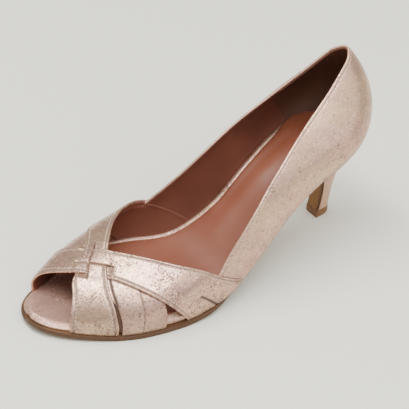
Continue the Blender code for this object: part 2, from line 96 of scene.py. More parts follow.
class Ink:
    """One output of a shader node, which can be added, subtracted and multiplied."""

    def __init__(self, tree, socket):
        self.tree = tree
        self.socket = socket

    def node(self, kind, settings=None, sockets=None, out=0):
        """Adds a node: its settings first, then the values or links of its sockets; gives one output."""
        made = self.tree.nodes.new(kind)
        for key, value in (settings or {}).items():
            setattr(made, key, value)
        for key, value in (sockets or {}).items():
            if isinstance(value, Ink):
                self.tree.links.new(value.socket, made.inputs[key])
            else:
                made.inputs[key].default_value = value
        return Ink(self.tree, made.outputs[out])

    def maths(self, operation, first, second):
        """A Math node with this operation on two values."""
        return self.node("ShaderNodeMath", {"operation": operation}, {0: first, 1: second})

    def __add__(self, other):
        return self.maths("ADD", self, other)

    def __radd__(self, other):
        return self.maths("ADD", other, self)

    def __sub__(self, other):
        return self.maths("SUBTRACT", self, other)

    def __rsub__(self, other):
        return self.maths("SUBTRACT", other, self)

    def __mul__(self, other):
        return self.maths("MULTIPLY", self, other)

    def __rmul__(self, other):
        return self.maths("MULTIPLY", other, self)

    def stretched(self, scale):
        """The same place with each direction multiplied, so that a pattern grows long the other way."""
        return self.node("ShaderNodeMapping", None, {"Vector": self, "Scale": scale})

    def noise(self, scale, detail, rough):
        """Cloudy values round a half; scale is how many clouds fit in a metre."""
        sockets = {"Vector": self, "Scale": scale, "Detail": detail, "Roughness": rough}
        return self.node("ShaderNodeTexNoise", None, sockets)

    def cells(self, scale, feature="DISTANCE_TO_EDGE"):
        """Distances in a pattern of cells, small at the cell walls."""
        return self.node("ShaderNodeTexVoronoi", {"feature": feature}, {"Vector": self, "Scale": scale})

    def step(self, low, high):
        """Smooth rise from 0 at low to 1 at high."""
        sockets = {"Value": self, "From Min": low, "From Max": high}
        return self.node("ShaderNodeMapRange", {"interpolation_type": "SMOOTHSTEP"}, sockets)

    def blend(self, first, second):
        """The first colour where this is 0, the second where it is 1."""
        return self.node("ShaderNodeMix", {"data_type": "RGBA"}, {0: self, 6: first, 7: second}, out=2)

    def bump(self, depth):
        """Turns this height, times a depth in metres, into a bent normal."""
        return self.node("ShaderNodeBump", None, {"Height": self, "Strength": 1.0, "Distance": depth})

    def hollow(self):
        """What a skin carries per point under the name hollow: painted shade, wear, a stain or the grip, else
        0.
        """
        return self.node("ShaderNodeAttribute", {"attribute_name": "hollow"}, None, "Fac")


def finish(name, recipe, constants):
    """A material: recipe turns Object coordinates into varying sockets; constants are set as they are."""
    paint = bpy.data.materials.new(name)
    paint.use_nodes = True
    tree = paint.node_tree
    shader = tree.nodes["Principled BSDF"]
    coords = Ink(tree, None).node("ShaderNodeTexCoord", out="Object")
    for socket, value in constants.items():
        shader.inputs[socket].default_value = value
    for socket, value in recipe(coords).items():
        tree.links.new(value.socket, shader.inputs[socket])
    print("finish", name, "with", len(tree.nodes), "nodes")
    return paint


# %% [markdown]
# The upper is goat leather with a thin metal foil pressed on. The foil cracks into tiny scales, so it is part
# metal, part leather: pale champagne with rose and grey patches, dark specks where the foil has come away,
# and painted glints, bright points where a scale would face the light. Long patches lie along the foot, as
# the foil was rubbed on.
# Grooves, slots and seams are darkened as painted shade, and the outer front a little as wear; the skins
# carry that as a value of their own, named hollow, at each point.
# A picture could be wrapped on, but it would blur close up, so noises of several sizes stand in for it.

# %% Champagne foil
CHAMPAGNE = (0.61, 0.405, 0.248, 1.0)
ROSE = (0.62, 0.362, 0.272, 1.0)
MAUVE_GREY = (0.43, 0.260, 0.220, 1.0)
BARE_LEATHER = (0.13, 0.065, 0.045, 1.0)
SHADE_AND_WEAR_DARK = (0.03, 0.015, 0.011, 1.0)
PAINTED_GLINT_PALE = (0.95, 0.70, 0.57, 1.0)


def foil_recipe(wear, dull):
    """Recipe of the foil; wear from 0 to 1 says how much has cracked away, dull is its plain roughness."""

    def recipe(coords):
        """Patches and shade blend three tones; cracks, specks and painted glints are steps of finer noise on
        top.
        """
        rubbed = coords.stretched((1.0, 2.6, 2.6))
        patches = rubbed.noise(16.0, 2.0, 0.5).step(0.35, 0.65)
        shade = rubbed.noise(45.0, 4.0, 0.6).step(0.42, 0.72)
        mottle = coords.noise(380.0, 3.0, 0.65).step(0.36, 0.64)
        grain = coords.noise(900.0, 3.0, 0.6)
        scales = coords.cells(1150.0)
        cracks = 1.0 - scales.step(0.02, 0.16)
        worn_where = coords.noise(70.0, 3.0, 0.6).step(0.55 - 0.25 * wear, 0.90 - 0.25 * wear)
        specks = (coords.noise(900.0, 2.0, 0.5) + 0.15 * worn_where).step(0.63, 0.69)
        glints = coords.noise(1250.0, 1.0, 0.4).step(0.58, 0.68)
        colour = patches.blend(CHAMPAGNE, ROSE)
        colour = (shade * 0.55 + mottle * (0.15 + 0.3 * wear)).blend(colour, MAUVE_GREY)
        colour = (cracks * worn_where * 0.45).blend(colour, BARE_LEATHER)
        colour = (specks * 0.8).blend(colour, BARE_LEATHER)
        # painted glints: a pale colour in small spots where a scale would catch the light
        colour = (glints * (1.0 - mottle) * 0.8).blend(colour, PAINTED_GLINT_PALE)
        # painted shade: grooves, slits, slots and seams darken to near black and lose their metal; hollow
        # also carries some wear
        hollow = coords.hollow()
        colour = hollow.blend(colour, SHADE_AND_WEAR_DARK)
        height = grain * 0.6 - cracks * 0.35 - specks * 0.5 - mottle * 0.5
        return {
            "Base Color": colour,
            "Metallic": (0.84 - 0.45 * specks - 0.2 * cracks * worn_where) * (1.0 - hollow),
            "Roughness": dull + 0.12 * grain + 0.2 * specks + 0.06 * mottle - 0.06 * glints + 0.4 * hollow,
            "Normal": height.bump(0.00003),
        }

    return recipe


foil = finish("champagne_foil", foil_recipe(0.25, 0.27), {"Specular IOR Level": 0.5})
worn_foil = finish("worn_champagne_foil", foil_recipe(0.8, 0.15), {"Specular IOR Level": 0.5})
trodden_foil = finish("trodden_champagne_foil", foil_recipe(0.6, 0.42), {"Specular IOR Level": 0.5})

# %% [markdown]
# The lining and the sock are smooth reddish-brown leather. The sock is polished by pressing, so it has a soft
# sheen; the lining is duller. Both have fine pores, which only show as a slight unevenness of the gloss, so
# one recipe with other tones and another gloss makes both.

# %% Brown leathers
SOCK_BROWN = (0.178, 0.050, 0.025, 1.0)
SOCK_WARM = (0.208, 0.063, 0.032, 1.0)
LINING_BROWN = (0.145, 0.044, 0.024, 1.0)
LINING_DARK = (0.110, 0.032, 0.018, 1.0)
GRIP_AND_SHADE_BROWN = (0.085, 0.036, 0.019, 1.0)


def brown_recipe(first, second, gloss):
    """Slow shade between two browns, darker on the heel grip; pores as bump, roughness round the gloss.

    Where the outer side sheet takes the grip's brown all over, that is painted shade.
    """

    def recipe(coords):
        """Steps and sums of a slow noise, a fine noise and the distances in small cells."""
        shade = coords.noise(22.0, 3.0, 0.5).step(0.35, 0.65)
        pores = coords.cells(1500.0, "F1")
        grain = coords.noise(500.0, 4.0, 0.6)
        grip = coords.hollow()
        return {
            "Base Color": grip.blend(shade.blend(first, second), GRIP_AND_SHADE_BROWN),
            "Roughness": gloss + 0.16 * grain + 0.06 * shade,
            "Normal": (grain * 0.7 + pores * 0.5).bump(0.00006),
        }

    return recipe


SOCK_GLOSS = {"Coat Weight": 0.11, "Coat Roughness": 0.22, "Specular IOR Level": 0.35}
sock_leather = finish("brown_sock_leather", brown_recipe(SOCK_BROWN, SOCK_WARM, 0.36), SOCK_GLOSS)
lining_leather = finish("brown_lining_leather", brown_recipe(LINING_DARK, LINING_BROWN, 0.46), {})

# %% [markdown]
# The outsole is tan leather: its edge is stained and waxed, and the flap down the heel breast is the same
# skin. Leather fibres run along it, so the noise is stretched the long way. The heel ends in caramel rubber.
# The thread is twisted, which shows as fine ribs.

# %% Sole leather, rubber and thread
SOLE_TAN = (0.27, 0.135, 0.045, 1.0)
SOLE_DARK = (0.18, 0.085, 0.030, 1.0)
SOLE_EDGE = (0.075, 0.033, 0.013, 1.0)
CARAMEL = (0.175, 0.078, 0.027, 1.0)
CARAMEL_DARK = (0.11, 0.042, 0.016, 1.0)
THREAD = (0.80, 0.60, 0.47, 1.0)
THREAD_SHADE = (0.50, 0.36, 0.28, 1.0)


def sole_recipe(coords):
    """Fibres along the sole, darker in slow patches; the edge is stained where the hollow value says so."""
    fibres = coords.stretched((0.2, 1.0, 1.0)).noise(900.0, 4.0, 0.6)
    shade = coords.noise(45.0, 3.0, 0.6).step(0.35, 0.7)
    edge = coords.hollow()
    return {
        "Base Color": edge.blend((shade * 0.6 + fibres * 0.3).blend(SOLE_TAN, SOLE_DARK), SOLE_EDGE),
        "Roughness": 0.5 + 0.2 * fibres,
        "Normal": fibres.bump(0.00008),
    }


def rubber_recipe(coords):
    """Moulded rubber: almost even, with a fine dull grain and a little dirt."""
    grain = coords.noise(1400.0, 3.0, 0.6)
    darkening = coords.noise(130.0, 4.0, 0.6).step(0.45, 0.75)
    return {
        "Base Color": (darkening * 0.7).blend(CARAMEL, CARAMEL_DARK),
        "Roughness": 0.5 + 0.2 * grain,
        "Normal": grain.bump(0.00005),
    }


def thread_recipe(coords):
    """Twisted thread: fine ribs across it."""
    twist = coords.noise(2600.0, 2.0, 0.5)
    return {
        "Base Color": twist.step(0.4, 0.65).blend(THREAD_SHADE, THREAD),
        "Roughness": 0.5 + 0.2 * twist,
        "Normal": twist.bump(0.00006),
    }


sole_leather = finish("tan_sole_leather", sole_recipe, {"Specular IOR Level": 0.35})
rubber = finish("caramel_rubber", rubber_recipe, {})
thread = finish("champagne_thread", thread_recipe, {})

# %% [markdown]
# A curved skin could be modelled by hand and subdivided. Here every skin is a grid of points from a formula,
# so two helpers are enough: one closes rows of rings into a solid, the other puts it into a mesh.
# A mesh whose faces point inward encloses a negative volume, so the sign tells when to turn them round.

# %% Rings into closed pieces


def loft(rings):
    """Closed loft: quads from ring to ring, and strips of quads that close the first and the last ring."""
    rows, count = rings.shape[:2]
    index = np.arange(rows * count).reshape(rows, count)
    after = np.roll(index, -1, axis=1)
    walls = np.stack([index[:-1], index[1:], after[1:], after[:-1]], -1).reshape(-1, 4)
    k = np.arange(count // 2 - 1)
    cap = np.stack([k, k + 1, count - 2 - k, count - 1 - k], -1)
    return rings.reshape(-1, 3), np.concatenate([walls, index[0][cap], index[-1][cap[:, ::-1]]])


def dress(name, shape, paint, node=None, sharp=None, hollow=None):
    """One closed piece at the origin; edges above the angle sharp stay sharp, hollow is a value a point."""
    points, quads = to_frame(shape[0]), shape[1]
    a, b, c, d = (points[quads[:, k]] for k in range(4))
    if np.sum(a * np.cross(b, c)) + np.sum(a * np.cross(c, d)) < 0:
        quads = quads[:, ::-1]
    mesh = bpy.data.meshes.new(name)
    mesh.from_pydata(points.tolist(), [], quads.tolist())
    mesh.shade_smooth()
    if sharp:
        mesh.set_sharp_from_angle(angle=sharp)
    if hollow is not None:
        values = mesh.attributes.new("hollow", "FLOAT", "POINT")
        values.data.foreach_set("value", hollow.astype(np.float32).ravel())
    mesh.materials.append(paint)
    piece = bpy.data.objects.new(name, mesh)
    bpy.context.scene.collection.objects.link(piece)
    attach(piece, "root")
    if node:
        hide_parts(node)
    print(name, "has", 2 * len(quads), "triangles")


# %% [markdown]
# A last is the wooden foot that a shoe is made on. Its outline, bottom line and height are given at a few
# stations along the foot, with a smooth curve through each column. The same numbers shaped the solids.
# A table's first row names its columns.

# %% Stations of the last
LENGTH = 232.0
LAST = (
    ("x", "lateral", "medial", "feather", "ridge",
     "tuck_lateral", "shoulder_lateral", "tuck_medial", "shoulder_medial", "rise"),
    (0, 27.0, 26.5, 61.0, 130, -0.05, 0.50, -0.05, 0.50, 0.62),
    (20, 29.5, 28.0, 59.5, 126, -0.05, 0.50, -0.05, 0.50, 0.62),
    (45, 32.0, 25.0, 53.0, 116, -0.05, 0.40, -0.10, 0.30, 0.62),
    (70, 35.8, 19.5, 42.4, 102, -0.05, 0.20, -0.50, 0.00, 0.62),
    (95, 40.5, 17.0, 25.4, 82, -0.05, 0.14, -0.70, -0.20, 0.62),
    (120, 45.6, 22.5, 10.4, 63, 0.02, 0.28, -0.50, -0.10, 0.64),
    (145, 47.5, 31.5, 4.4, 50.5, -0.08, 0.42, -0.26, 0.20, 0.68),
    (165, 46.2, 36.0, 2.6, 40.5, -0.14, 0.44, -0.24, 0.36, 0.72),
    (185, 42.5, 34.6, 2.6, 33.2, -0.15, 0.44, -0.26, 0.38, 0.74),
    (205, 37.0, 31.0, 4.1, 27, -0.12, 0.44, -0.20, 0.42, 0.74),
    (232, 30.0, 28.0, 6.8, 16, -0.06, 0.44, -0.06, 0.44, 0.74),
)


def spline(table, name, x):
    """Smooth curve through a named column: a cubic between rows, with the slopes of the neighbours."""
    rows = np.array(table[1:], float)
    xs, vs = rows[:, 0], rows[:, table[0].index(name)]
    slope = np.gradient(vs, xs)
    x = np.asarray(x, float)
    i = np.clip(np.searchsorted(xs, x, side="right") - 1, 0, len(xs) - 2)
    h = xs[i + 1] - xs[i]
    u = (x - xs[i]) / h
    start = (2 * u**3 - 3 * u**2 + 1) * vs[i] + (u**3 - 2 * u**2 + u) * h * slope[i]
    end = (3 * u**2 - 2 * u**3) * vs[i + 1] + (u**3 - u**2) * h * slope[i + 1]
    return start + end


def last(name, x):
    """A column of the last's table at the places x."""
    return spline(LAST, name, x)


print("last", LENGTH, "mm long,", last("lateral", 150) + last("medial", 150), "mm wide at the ball")

# %% [markdown]
# The lower rim of the last, where the upper meets the sole, is called the feather edge. Between the stations
# it is rounded off at heel and toe, and over it each section of the last is a cubic up to the ridge.

# %% Surface of the last
HEEL_ROUND = 32.0
TOE_ROUND = 58.0
TOE_POWER = 2.2
TOE_SWING = -4.5
SWING_FROM = 110.0
TREAD_FEATHER = 3.2


def ease(v):
    """Smooth step: three squares less two cubes, held at 0 and 1."""
    v = np.clip(v, 0.0, 1.0)
    return v * v * (3 - 2 * v)


def mix(a, b, w):
    """Straight blend: a, plus the way from a to b times w."""
    return a + (b - a) * w


def round_ends(x):
    """Share of the half width left at x: a circle at the heel, a fuller curve at the toe."""
    back = np.clip(x / HEEL_ROUND, 0, 1)
    front = np.clip((LENGTH - x) / TOE_ROUND, 0, 1)
    heel_share = np.sqrt(np.maximum(1 - (1 - back) ** 2, 0))
    return heel_share * np.maximum(1 - (1 - front) ** TOE_POWER, 0) ** (1 / TOE_POWER)


def centre(x):
    """Middle line of the last: ahead of the waist it swings inward by a power of the way to the toe."""
    return TOE_SWING * np.clip((x - SWING_FROM) / (LENGTH - SWING_FROM), 0, 1) ** 1.5


def feather_z(x):
    """Height of the feather edge, where the upper meets the sole: the table's, or the tread's if higher."""
    return np.maximum(TREAD_FEATHER, last("feather", x))


def feather(x, side):
    """Feather edge as points: half width to the side (1 outer, -1 inner) of the middle line."""
    half = np.where(side > 0, last("lateral", x), last("medial", x))
    return np.stack([x, centre(x) + side * half * round_ends(x), feather_z(x)], -1)


def cubic(t, start, first, second, end):
    """Cubic from start to end with two handles, each weighed by a product of t and one less t."""
    return (1 - t) ** 3 * start + 3 * t * (1 - t) ** 2 * first + 3 * t**2 * (1 - t) * second + t**3 * end


def vamp(x, a):
    """Top of the last: at x, a cubic goes from the feather edge (a is 1 or -1) up to the ridge (a is 0)."""
    x, a = np.broadcast_arrays(np.asarray(x, float), np.asarray(a, float))
    t = 1 - np.abs(a)
    foot = feather(x, np.where(a >= 0, 1.0, -1.0))
    tuck = np.where(a >= 0, last("tuck_lateral", x), last("tuck_medial", x))
    shoulder = np.where(a >= 0, last("shoulder_lateral", x), last("shoulder_medial", x))
    y = mix(foot[..., 1], centre(x), cubic(t, 0, tuck, shoulder, 1))
    z = mix(foot[..., 2], last("ridge", x), cubic(t, 0, last("rise", x), 1, 1))
    return np.stack([x, y, z], -1)


print("ridge over the ball", vamp(150, 0).round(1), "mm")

# %% [markdown]
# A leather edge on a good shoe is folded back on itself, so it shows as a half round, not as a cut.
# A skin is therefore a ring: the outer face, a half circle at the fold, the inner face and the other fold.
# A bevel could round a cut edge, but a ring gives the fold its full half circle and leaves no open seam.

# %% Folded leather


def unit(v):
    """Vectors divided by their length."""
    return v / np.maximum(np.linalg.norm(v, axis=-1, keepdims=True), 1e-9)


def normals(points, facing, upright):
    """Unit normals of a grid: its first direction crossed with its second, times facing.

    Their upright part is multiplied, by 0 near the sole, so that a wall stands square on it.
    """
    n = facing * unit(np.cross(np.gradient(points, axis=0), np.gradient(points, axis=1)))
    n[..., 2] *= upright
    return unit(n)


def turn(edge, back, before, bulge=1.0, steps=6):
    """Half round from edge to back: the middle plus the arm times cosine, plus the way out times sine."""
    arm = (edge - back) / 2
    out = edge - before
    for along in (arm, np.gradient(edge, axis=0)):
        out = out - along * np.sum(out * along, -1, keepdims=True) / np.sum(along**2, -1, keepdims=True)
    out = unit(out) * np.linalg.norm(arm, axis=-1, keepdims=True) * bulge
    angle = np.linspace(0, np.pi, steps + 2)[1:-1, None]
    return (edge + back)[:, None] / 2 + arm[:, None] * np.cos(angle) + out[:, None] * np.sin(angle)


def folded(outer, inner, first=1.0, final=1.0):
    """Rings of a skin; first and final are the bulges of the folds at its first and last column."""
    ends = turn(outer[:, -1], inner[:, -1], outer[:, -2], final)
    starts = turn(inner[:, 0], outer[:, 0], inner[:, 1], first)
    return np.concatenate([outer, ends, inner[:, ::-1], starts], 1)


def dress_skin(name, outer, inner, darkening, paint, first=1.0):
    """A folded skin of the upper: its outer face carries painted shade and wear, its folds and inner face
    none.
    """
    rings = folded(outer, inner, first)
    hollow = np.pad(np.clip(darkening, 0, 1), ((0, 0), (0, rings.shape[1] - darkening.shape[1])))
    dress(name, loft(rings), paint, "upper", None, hollow)


# %% [markdown]
# The quarter is the back of the upper: one skin from the inner vamp round the heel to the outer vamp.
# It could be sculpted, but its lining has to follow it, so one formula serves both. Each upright line is a
# cubic from the feather edge to the topline, pushed out by two handles, and in front it melts into the last.

# %% Wall of the quarter
WALL = 1.5
TOP_BACK = 7.6
TOP = (
    ("x", "y_lateral", "z_lateral", "y_medial", "z_medial"),
    (TOP_BACK, 6.0, 120.5, 6.0, 120.5),
    (14, 8.0, 115.8, 8.0, 116.5),
    (30, 12.9, 103.0, 11.9, 105.2),
    (50, 18.7, 89.8, 16.3, 92.2),
    (75, 28.2, 74.3, 20.4, 77.2),
    (100, 37.0, 55.5, 22.2, 60.8),
    (120, 42.3, 35.5, 25.6, 45.0),
    (134, 43.0, 20.5, 30.0, 34.0),
    (142, 43.5, 13.0, 31.5, 27.5),
)
TOP_END_LATERAL = 134.0
TOP_END_MEDIAL = 141.0
TOP_ROUND = 8.0
BULGE = (
    ("g", "low", "high"),
    (0.0, 15.0, 15.5),
    (0.12, 13.0, 16.0),
    (0.4, 7.0, 10.0),
    (0.75, 2.0, 3.0),
    (1.0, 1.0, 1.0),
)
LOW_HANDLE = 0.34
HIGH_HANDLE = 0.30
QUARTER_FOOT = 119.0
BLEND_START = 0.62
BLEND_END = 0.88
QUARTER_DROP = 0.6


def vamp_a(x, side, z):
    """The a on the last at x where its height is z, found by halving."""
    foot = feather_z(x)
    want = (z - foot) / (last("ridge", x) - foot)
    low = np.zeros_like(want)
    high = np.ones_like(want)
    for _ in range(40):
        middle = (low + high) / 2
        below = cubic(middle, 0, last("rise", x), 1, 1) < want
        low = np.where(below, middle, low)
        high = np.where(below, high, middle)
    return side * (1 - low)


def topline(x, side):
    """Collar line from the table; a quarter circle narrows it to nothing at the heel top."""
    name = "lateral" if side > 0 else "medial"
    r = np.clip((x - TOP_BACK) / TOP_ROUND, 0, 1)
    half = spline(TOP, "y_" + name, x) * np.sqrt(1 - (1 - r) ** 2)
    return np.stack([x, side * half, spline(TOP, "z_" + name, x)], -1)


def quarter_wall(s, t):
    """Wall and normals at s (-1 inner vamp, 0 back, 1 outer vamp) and t (0 foot, 1 top), as cubics.

    Two handles push each cubic outward, and a smooth step melts it into the last towards the front.
    """
    s = s[:, None]
    t = t[None, :]
    g = s * s * (2 - np.abs(s))
    side = np.where(s >= 0, 1.0, -1.0)
    foot = feather(QUARTER_FOOT * g, side)
    top_x = mix(TOP_BACK, np.where(side > 0, TOP_END_LATERAL, TOP_END_MEDIAL), g)
    top = np.where(side[..., None] > 0, topline(top_x, 1), topline(top_x, -1))
    along = np.gradient(foot, axis=0)
    out = unit(np.stack([-along[..., 1], along[..., 0], 0 * along[..., 0]], -1))
    height = top[..., 2] - foot[..., 2]
    up = np.stack([0 * height, 0 * height, height], -1)
    low = foot + out * spline(BULGE, "low", g)[..., None] + LOW_HANDLE * up
    high = top + out * spline(BULGE, "high", g)[..., None] - HIGH_HANDLE * up
    wall = cubic(t[..., None], foot, low, high, top)
    x = mix(foot[..., 0], top[..., 0], t)
    on_last = vamp(x, mix(side, vamp_a(top[..., 0], side, top[..., 2]), t))
    wall = mix(wall, on_last, ease((g - BLEND_START) / (BLEND_END - BLEND_START))[..., None])
    n = normals(wall, -1.0, ease(t / 0.11))
    drop = QUARTER_DROP * ease((g - 0.8) / 0.15) * mix(0.4, 1.0, ease(t / 0.25))
    return wall - n * drop[..., None], n


print("collar", TOP[1][2], "mm high at the back")

# %% [markdown]
# The leather isn't as smooth as that wall. A groove runs below the folded topline, where the thread pulls it
# in, and a closed seam runs down the back. A few soft creases are listed, in the shoe's own
# millimetres: the side, two ends as x and z, a width and a height.

# %% Skin of the quarter
STITCH_IN = 2.2
GROOVE_DEEP = 0.28
GROOVE_WIDE = 0.5
QUARTER_GROOVE_SHADE = 0.35
SEAM_DEEP = 0.3
SEAM_WIDE = 0.45
BACK_SEAM_SHADE = 0.7
CREASES = (
    (1, 104.0, 26.0, 74.0, 52.0, 4.5, 0.35),
    (1, 112.0, 33.0, 86.0, 55.0, 4.0, -0.30),
    (1, 60.0, 62.0, 40.0, 70.0, 5.0, -0.30),
    (1, 30.0, 84.0, 16.0, 96.0, 5.0, -0.35),
    (1, 22.0, 70.0, 8.0, 76.0, 4.0, 0.30),
    (-1, 100.0, 36.0, 72.0, 58.0, 4.5, 0.30),
    (-1, 92.0, 48.0, 64.0, 66.0, 4.0, -0.30),
    (-1, 34.0, 82.0, 16.0, 94.0, 5.0, -0.30),
)


def below_top(wall):
    """Distance down the wall from its top, along each upright line."""
    steps = np.linalg.norm(np.diff(wall, axis=1), axis=-1)
    run = np.concatenate([np.zeros((len(wall), 1)), np.cumsum(steps, 1)], 1)
    return run[:, -1:] - run


def bell(distance, wide):
    """Bell curve: one at no distance, a good third at the width, next to nothing at twice that."""
    return np.exp(-((distance / wide) ** 2))


def creases(wall):
    """Soft ridges and troughs: a bell of the distance, seen from the side, to each line of the table."""
    total = np.zeros(wall.shape[:-1])
    for side, x0, z0, x1, z1, wide, high in CREASES:
        start, d = np.array([x0, z0]), np.array([x1 - x0, z1 - z0])
        place = wall[..., [0, 2]] - start
        share = place @ d / (d @ d)
        away = np.linalg.norm(place - share[..., None] * d, axis=-1)
        fade = ease((share + 0.3) / 0.5) * ease((1.3 - share) / 0.5)
        total += (wall[..., 1] * side > 4) * high * fade * bell(away, wide)
    return total


QUARTER_S = np.linspace(-1, 1, 401)
QUARTER_T = 1 - (1 - np.linspace(0, 0.9995, 76)) ** 1.8
TOP_FOLD = 0.0125
wall, wall_n = quarter_wall(QUARTER_S, QUARTER_T * (1 - TOP_FOLD))
down = below_top(wall)
back_seam = bell(wall[..., 1], SEAM_WIDE) * (np.abs(QUARTER_S[:, None]) < 0.06)
groove = bell(down - STITCH_IN + WALL / 2, GROOVE_WIDE)
quarter_outer = wall + wall_n * (creases(wall) - GROOVE_DEEP * groove - SEAM_DEEP * back_seam)[..., None]
quarter_inner = wall - wall_n * WALL
# painted shade: the stitch groove and the back seam are darkened where shade falls in them
darkening = QUARTER_GROOVE_SHADE * groove + BACK_SEAM_SHADE * back_seam
dress_skin("quarter_leather", quarter_outer, quarter_inner, darkening, foil, 0.2)

# %% [markdown]
# Two bands make the vamp. Each starts broad at the side, narrows to the middle and fans out again. The front
# and rear edge of each are read off at places over the last: a is 1 at the outer sole, 0 on the ridge and -1
# at the inner sole.

# %% Outlines of the bands
BAND_TO_LATERAL = (
    ("a", "front", "rear"),
    (-1.00, 218.0, 189.5),
    (-0.60, 216.0, 193.2),
    (-0.30, 211.0, 188.8),
    (-0.12, 206.4, 182.8),
    (0.00, 201.6, 178.4),
    (0.26, 188.8, 165.7),
    (0.48, 179.2, 153.0),
    (0.68, 169.8, 138.0),
    (0.85, 161.3, 124.5),
    (1.00, 153.3, 110.8),
)
BAND_TO_MEDIAL = (
    ("a", "front", "rear"),
    (-1.00, 147.0, 105.0),
    (-0.80, 158.8, 120.0),
    (-0.62, 168.3, 134.3),
    (-0.42, 177.0, 151.7),
    (-0.23, 184.8, 165.4),
    (-0.10, 192.2, 172.8),
    (0.00, 200.0, 178.4),
    (0.10, 205.4, 183.2),
    (0.28, 210.3, 189.5),
    (0.65, 217.0, 194.3),
    (1.00, 219.0, 194.3),
)
for table in (BAND_TO_LATERAL, BAND_TO_MEDIAL):
    print("band on the ridge from", spline(table, "rear", 0.0), "to", spline(table, "front", 0.0), "mm")

# %% [markdown]
# In the middle the bands are slit and plaited: two strips of one pass over and under two strips of the other.
# A weave could be painted on, but the little steps catch the light, so they are real: the height of a band is
# the product of two steep steps, one across itself and one across the other band.

# %% Woven bands
BAND_RAISE = 0.4
WEAVE_OVER = 0.75
WEAVE_UNDER = -0.5
WEAVE_STEP = 0.035
WEAVE_MIDDLE = 0.43
SLIT_DEEP = 0.6
SLIT_WIDE = 0.45
EDGE_STITCH = 1.7
# a band runs aslant, so a distance square to its edge is this share of one along the foot
SLANT = 0.75
BAND_FOLD = 0.9
BAND_GROOVE_SHADE = 0.45
# from the ridge down to the sole the last measures this much
GIRTH = 62.0
SIDE_SLIT = (144.4, 0.843 * GIRTH, 131.0, 1.02 * GIRTH)
SIDE_SLIT_WIDE = 0.6
RUBBED = 0.12
BAND_A = np.linspace(-1, 1, 321)
BAND_A = np.sign(BAND_A) * np.abs(BAND_A) ** 1.2


def to_line(places, x0, y0, x1, y1):
    """Distance from flat places to a straight line: what is left when the nearest spot on it is taken off."""
    p = places - np.array([x0, y0])
    d = np.array([x1 - x0, y1 - y0])
    share = np.clip(p @ d / (d @ d), 0, 1)
    return np.linalg.norm(p - share[..., None] * d, axis=-1)


def band_skin(rows, other, over):
    """Faces, normals, painted shade and wear of a band: the last, plus weave steps, less grooves and slits.
    """
    a = BAND_A[:, None]
    front = spline(rows, "front", a)
    rear = spline(rows, "rear", a)
    fold = BAND_FOLD / (front - rear)
    v = mix(fold, 1 - fold, np.linspace(0, 1, 97)[None, :])
    x = mix(front, rear, v)
    other_front = spline(other, "front", a)
    w = (other_front - x) / (other_front - spline(other, "rear", a))
    inside = ease((w + 0.25) / 0.25) * ease((1.25 - w) / 0.25)
    cell = np.tanh((v - WEAVE_MIDDLE) / WEAVE_STEP) * np.tanh((w - WEAVE_MIDDLE) / WEAVE_STEP) * over
    woven = np.where(cell > 0, WEAVE_OVER * cell, -WEAVE_UNDER * cell)
    level = mix(BAND_RAISE, woven, inside) * ease((1 - np.abs(a)) / 0.15)
    points = vamp(x, a)
    n = normals(points, 1.0, ease((1 - np.abs(a)) / 0.06))
    edge_in = np.minimum(v, 1 - v) * (front - rear) * SLANT
    groove = bell(edge_in - EDGE_STITCH, GROOVE_WIDE)
    plaited = ease((w + 0.3) / 0.2) * ease((1.3 - w) / 0.2)
    slit = plaited * bell((v - WEAVE_MIDDLE) * (front - rear), SLIT_WIDE)
    if over > 0:
        slit = slit + bell(to_line(np.stack([x, a * GIRTH + 0 * x], -1), *SIDE_SLIT), SIDE_SLIT_WIDE)
    level = level - GROOVE_DEEP * groove - SLIT_DEEP * slit
    outer = points + n * level[..., None]
    # painted shade: the stitch grooves and the slits are darkened; RUBBED adds a little wear low on the outer
    # front
    rubbed = RUBBED * ease((a - 0.2) / 0.25) * (over < 0)
    return outer, outer - n * WALL, n, BAND_GROOVE_SHADE * groove + slit + rubbed


bands = {
    "band_to_medial": band_skin(BAND_TO_MEDIAL, BAND_TO_LATERAL, -1.0),
    "band_to_lateral": band_skin(BAND_TO_LATERAL, BAND_TO_MEDIAL, 1.0),
}
for name, (outer, inner, _, darkening) in bands.items():
    dress_skin(name + "_leather", outer, inner, darkening, worn_foil)

# %% [markdown]
# Between a front band and a top band each side is closed by a plain strip, tucked under both of them.
# The outer one has a pleat along it, and its rear edge stops short of the top band, which leaves a window.
# Where a strip dives under a band it sinks, and a dark slot of painted shade shows there.

# %% Side strips
FILL_FROM = 0.24
FILL_LATERAL = (
    ("a", "front", "rear", "pleat"),
    (FILL_FROM, 193.0, 181.5, 176.0),
    (0.45, 195.0, 174.0, 177.5),
    (0.58, 193.6, 170.0, 179.0),
    (0.75, 193.2, 167.2, 180.2),
    (1.00, 193.2, 167.0, 182.0),
)
FILL_MEDIAL = (
    ("a", "front", "rear", "pleat"),
    (FILL_FROM, 190.5, 178.0, 250.0),
    (0.45, 193.8, 171.0, 250.0),
    (0.60, 195.0, 165.0, 250.0),
    (0.80, 194.0, 155.5, 250.0),
    (1.00, 191.5, 150.0, 250.0),
)
FILL_DROP = -0.75
PLEAT_STEP = 0.5
PLEAT_SHARP = 0.7
PLEAT_SHADE = 0.4
SLOT_DEEP = 1.1
STRIP_FOLD = 0.8


